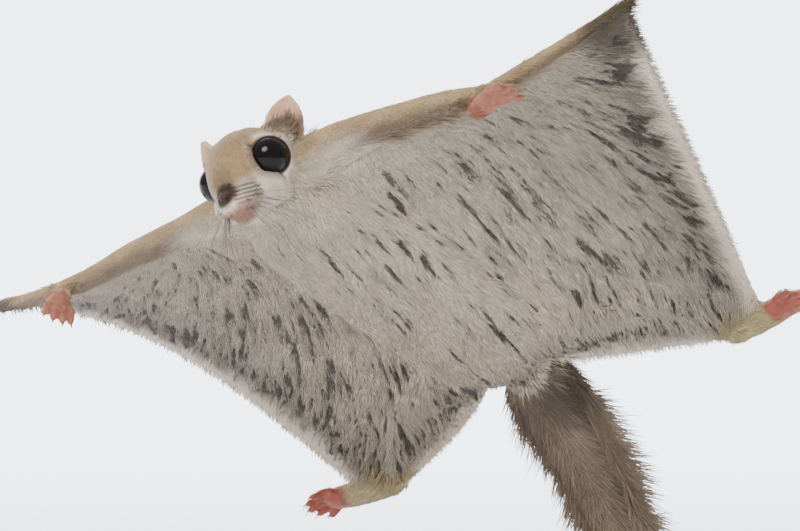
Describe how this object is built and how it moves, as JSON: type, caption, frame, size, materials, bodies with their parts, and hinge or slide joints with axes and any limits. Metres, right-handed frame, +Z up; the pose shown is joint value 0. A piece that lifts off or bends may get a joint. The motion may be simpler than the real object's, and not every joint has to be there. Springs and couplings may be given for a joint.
{
  "type": "flying squirrel model",
  "caption": "Life-size flying squirrel gliding with its furred membrane spread, seen from below, on a flat stand with one bent rod.",
  "frame": {"origin": "centre of the underside of the stand's base", "axes": "+Z up from the base; the animal glides towards -X and -Y, with its head low on that side, its left wing up towards +X and its belly turned to -Y"},
  "size_m": [0.2636, 0.2064, 0.2492],
  "materials": {
    "belly_fur": "soft fur, cream grey",
    "buff_fur": "short fur, buff brown",
    "tail_fur": "long fur, grey brown",
    "bare_skin": "matte, pink",
    "eye_black": "gloss",
    "walnut": "satin",
    "steel": "brushed"
  },
  "bodies": {
    "root": {"torso": "belly_fur", "head": "buff_fur", "neck": "belly_fur", "tail": "tail_fur", "eye_left": "eye_black", "eye_right": "eye_black", "ear_left": "buff_fur", "ear_right": "buff_fur", "arm_left": "buff_fur", "arm_right": "buff_fur", "hand_left": "bare_skin", "hand_right": "bare_skin", "spur_left": "buff_fur", "spur_right": "buff_fur", "leg_left": "belly_fur", "leg_right": "belly_fur", "foot_left": "bare_skin", "foot_right": "bare_skin", "membrane_left": "belly_fur", "membrane_right": "belly_fur", "tail_web_left": "belly_fur", "tail_web_right": "belly_fur", "stand_base": "walnut", "stand_rod": "steel"}
  },
  "joints": []
}
